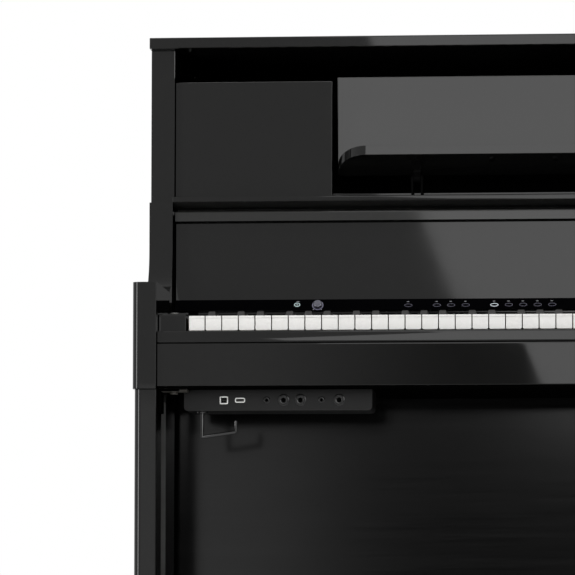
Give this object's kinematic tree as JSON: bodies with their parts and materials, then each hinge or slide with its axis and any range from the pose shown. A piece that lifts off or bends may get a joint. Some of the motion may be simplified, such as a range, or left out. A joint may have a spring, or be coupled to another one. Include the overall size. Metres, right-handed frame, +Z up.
{
  "type": "upright digital piano",
  "caption": "Tall upright-cabinet piano in polished black with a swing-down fallboard, lid on a stay, tilting music rest, weighted keys, three pedals and a jack box under the key bed.",
  "frame": {"origin": "on the floor, in the middle of the bounding box", "axes": "+X to the player's right, +Y from the player to the wall, +Z up"},
  "size_m": [1.38, 0.493, 1.123],
  "materials": {
    "lacquer": "polished black polyester lacquer over fibreboard",
    "inner_board": "matt black painted fibreboard",
    "satin_panel": "satin black with a fine horizontal grain",
    "foot_plastic": "moulded black glide",
    "black_steel": "black painted steel",
    "speaker_black": "black paper cone in a painted basket",
    "hinge_brass": "brushed brass-plated hinge",
    "plated_steel": "zinc-plated steel",
    "bumper_rubber": "soft rubber buffer",
    "panel_plastic": "gloss black touch panel with lit ovals",
    "button_plastic": "lit white power button",
    "knob_metal": "turned knob with a lit ring",
    "holder_plastic": "moulded black page holder",
    "jack_box_plastic": "fine-textured black housing",
    "socket_metal": "nickel-plated sockets",
    "circuit_board": "green board",
    "pedal_brass": "polished brass",
    "white_key": "ivory-textured key top on a wooden stick",
    "sharp_key": "ebony-textured key top on a wooden stick"
  },
  "bodies": {
    "cabinet": {"side_board_left": "lacquer", "side_board_right": "lacquer", "arm_left": "lacquer", "arm_right": "lacquer", "leg_left": "lacquer", "leg_right": "lacquer", "toe_blocks": "lacquer", "levelling_feet": "foot_plastic", "key_bed": "inner_board", "front_rail": "lacquer", "key_slip": "lacquer", "key_blocks": "lacquer", "leg_plates": "black_steel", "upper_rail": "lacquer", "upper_panel_left": "lacquer", "upper_panel_right": "lacquer", "baffle_board": "inner_board", "speakers": "speaker_black", "rear_panel": "inner_board", "lower_panel": "satin_panel", "bottom_board": "inner_board", "pedal_box": "lacquer", "lid_hinge_plates": "hinge_brass", "stay_bracket": "black_steel", "fallboard_pins": "black_steel", "fallboard_bumpers": "bumper_rubber", "control_panel": "panel_plastic", "music_hinges": "black_steel", "jack_box": "jack_box_plastic", "sockets": "socket_metal", "headphone_hook": "black_steel", "main_board": "circuit_board", "key_frame": "plated_steel", "pedal_shaft_bracket": "plated_steel"},
    "lid": {"top_lid": "lacquer", "lid_hinge_leaves": "hinge_brass"},
    "stay": {"lid_stay": "black_steel"},
    "fallboard_lid": {"fallboard": "lacquer", "fallboard_arms": "black_steel"},
    "music_rest": {"music_board": "lacquer", "music_ledge": "lacquer"},
    "holder_left": {"page_holder_left": "holder_plastic"},
    "holder_right": {"page_holder_right": "holder_plastic"},
    "power": {"power_button": "button_plastic"},
    "volume": {"volume_knob": "knob_metal"},
    "soft_pedal": {"pedal_left": "pedal_brass"},
    "sostenuto_pedal": {"pedal_middle": "pedal_brass"},
    "damper_pedal": {"pedal_right": "pedal_brass"},
    "note_c": {"keys_c": "white_key"},
    "note_c_sharp": {"keys_c_sharp": "sharp_key"},
    "note_d": {"keys_d": "white_key"},
    "note_d_sharp": {"keys_d_sharp": "sharp_key"},
    "note_e": {"keys_e": "white_key"},
    "note_f": {"keys_f": "white_key"},
    "note_f_sharp": {"keys_f_sharp": "sharp_key"},
    "note_g": {"keys_g": "white_key"},
    "note_g_sharp": {"keys_g_sharp": "sharp_key"},
    "note_a": {"keys_a": "white_key"},
    "note_a_sharp": {"keys_a_sharp": "sharp_key"},
    "note_b": {"keys_b": "white_key"}
  },
  "joints": [
    {"name": "lid_open", "type": "hinge", "parent": "cabinet", "child": "lid", "pos_m": [0, 0.242, 1.1075], "axis": [-1, 0, 0], "range_deg": [0, 38]},
    {"name": "stay_swing", "type": "hinge", "parent": "cabinet", "child": "stay", "pos_m": [-0.64, 0.1535, 1.066], "axis": [-1, 0, 0], "range_deg": [0, 90]},
    {"name": "fallboard_close", "type": "hinge", "parent": "cabinet", "child": "fallboard_lid", "pos_m": [0, -0.0676, 0.7077], "axis": [1, 0, 0], "range_deg": [0, 98]},
    {"name": "rest_tilt", "type": "hinge", "parent": "cabinet", "child": "music_rest", "pos_m": [0, -0.0171, 0.91728], "axis": [1, 0, 0], "range_deg": [-6, 10]},
    {"name": "holder_flip_left", "type": "hinge", "parent": "music_rest", "child": "holder_left", "pos_m": [-0.143, -0.04793, 0.9583], "axis": [1, 0, 0], "range_deg": [0, 100]},
    {"name": "holder_flip_right", "type": "hinge", "parent": "music_rest", "child": "holder_right", "pos_m": [0.143, -0.04793, 0.9583], "axis": [1, 0, 0], "range_deg": [0, 100]},
    {"name": "power_press", "type": "slide", "parent": "cabinet", "child": "power", "axis": [0, 0.8779, -0.4789], "range_m": [0, 0.001], "stiffness_N_per_m": 400, "springref_m": -0.001},
    {"name": "volume_turn", "type": "hinge", "parent": "cabinet", "child": "volume", "pos_m": [-0.443, -0.05436, 0.72859], "axis": [0, -0.8779, 0.4789], "range_deg": [-140, 140]},
    {"name": "soft_pedal_press", "type": "hinge", "parent": "cabinet", "child": "soft_pedal", "pos_m": [-0.072, 0.0535, 0.088], "axis": [1, 0, 0], "range_deg": [0, 6], "stiffness_Nm_per_rad": 20, "springref_deg": -11.46},
    {"name": "sostenuto_pedal_press", "type": "hinge", "parent": "cabinet", "child": "sostenuto_pedal", "pos_m": [0, 0.0535, 0.088], "axis": [1, 0, 0], "range_deg": [0, 6], "stiffness_Nm_per_rad": 20, "springref_deg": -11.46},
    {"name": "damper_pedal_press", "type": "hinge", "parent": "cabinet", "child": "damper_pedal", "pos_m": [0.072, 0.0535, 0.088], "axis": [1, 0, 0], "range_deg": [0, 6], "stiffness_Nm_per_rad": 20, "springref_deg": -11.46},
    {"name": "press_c", "type": "hinge", "parent": "cabinet", "child": "note_c", "pos_m": [0, 0.0235, 0.664], "axis": [1, 0, 0], "range_deg": [0, 2.4], "stiffness_Nm_per_rad": 4, "springref_deg": -25.78},
    {"name": "press_c_sharp", "type": "hinge", "parent": "cabinet", "child": "note_c_sharp", "pos_m": [0, 0.0235, 0.664], "axis": [1, 0, 0], "range_deg": [0, 2.4], "stiffness_Nm_per_rad": 4, "springref_deg": -25.78},
    {"name": "press_d", "type": "hinge", "parent": "cabinet", "child": "note_d", "pos_m": [0, 0.0235, 0.664], "axis": [1, 0, 0], "range_deg": [0, 2.4], "stiffness_Nm_per_rad": 4, "springref_deg": -25.78},
    {"name": "press_d_sharp", "type": "hinge", "parent": "cabinet", "child": "note_d_sharp", "pos_m": [0, 0.0235, 0.664], "axis": [1, 0, 0], "range_deg": [0, 2.4], "stiffness_Nm_per_rad": 4, "springref_deg": -25.78},
    {"name": "press_e", "type": "hinge", "parent": "cabinet", "child": "note_e", "pos_m": [0, 0.0235, 0.664], "axis": [1, 0, 0], "range_deg": [0, 2.4], "stiffness_Nm_per_rad": 4, "springref_deg": -25.78},
    {"name": "press_f", "type": "hinge", "parent": "cabinet", "child": "note_f", "pos_m": [0, 0.0235, 0.664], "axis": [1, 0, 0], "range_deg": [0, 2.4], "stiffness_Nm_per_rad": 4, "springref_deg": -25.78},
    {"name": "press_f_sharp", "type": "hinge", "parent": "cabinet", "child": "note_f_sharp", "pos_m": [0, 0.0235, 0.664], "axis": [1, 0, 0], "range_deg": [0, 2.4], "stiffness_Nm_per_rad": 4, "springref_deg": -25.78},
    {"name": "press_g", "type": "hinge", "parent": "cabinet", "child": "note_g", "pos_m": [0, 0.0235, 0.664], "axis": [1, 0, 0], "range_deg": [0, 2.4], "stiffness_Nm_per_rad": 4, "springref_deg": -25.78},
    {"name": "press_g_sharp", "type": "hinge", "parent": "cabinet", "child": "note_g_sharp", "pos_m": [0, 0.0235, 0.664], "axis": [1, 0, 0], "range_deg": [0, 2.4], "stiffness_Nm_per_rad": 4, "springref_deg": -25.78},
    {"name": "press_a", "type": "hinge", "parent": "cabinet", "child": "note_a", "pos_m": [0, 0.0235, 0.664], "axis": [1, 0, 0], "range_deg": [0, 2.4], "stiffness_Nm_per_rad": 4, "springref_deg": -25.78},
    {"name": "press_a_sharp", "type": "hinge", "parent": "cabinet", "child": "note_a_sharp", "pos_m": [0, 0.0235, 0.664], "axis": [1, 0, 0], "range_deg": [0, 2.4], "stiffness_Nm_per_rad": 4, "springref_deg": -25.78},
    {"name": "press_b", "type": "hinge", "parent": "cabinet", "child": "note_b", "pos_m": [0, 0.0235, 0.664], "axis": [1, 0, 0], "range_deg": [0, 2.4], "stiffness_Nm_per_rad": 4, "springref_deg": -25.78}
  ],
  "couplings": [
    {"joint": "stay_swing", "follows": "lid_open", "ratio": 2.3684}
  ]
}
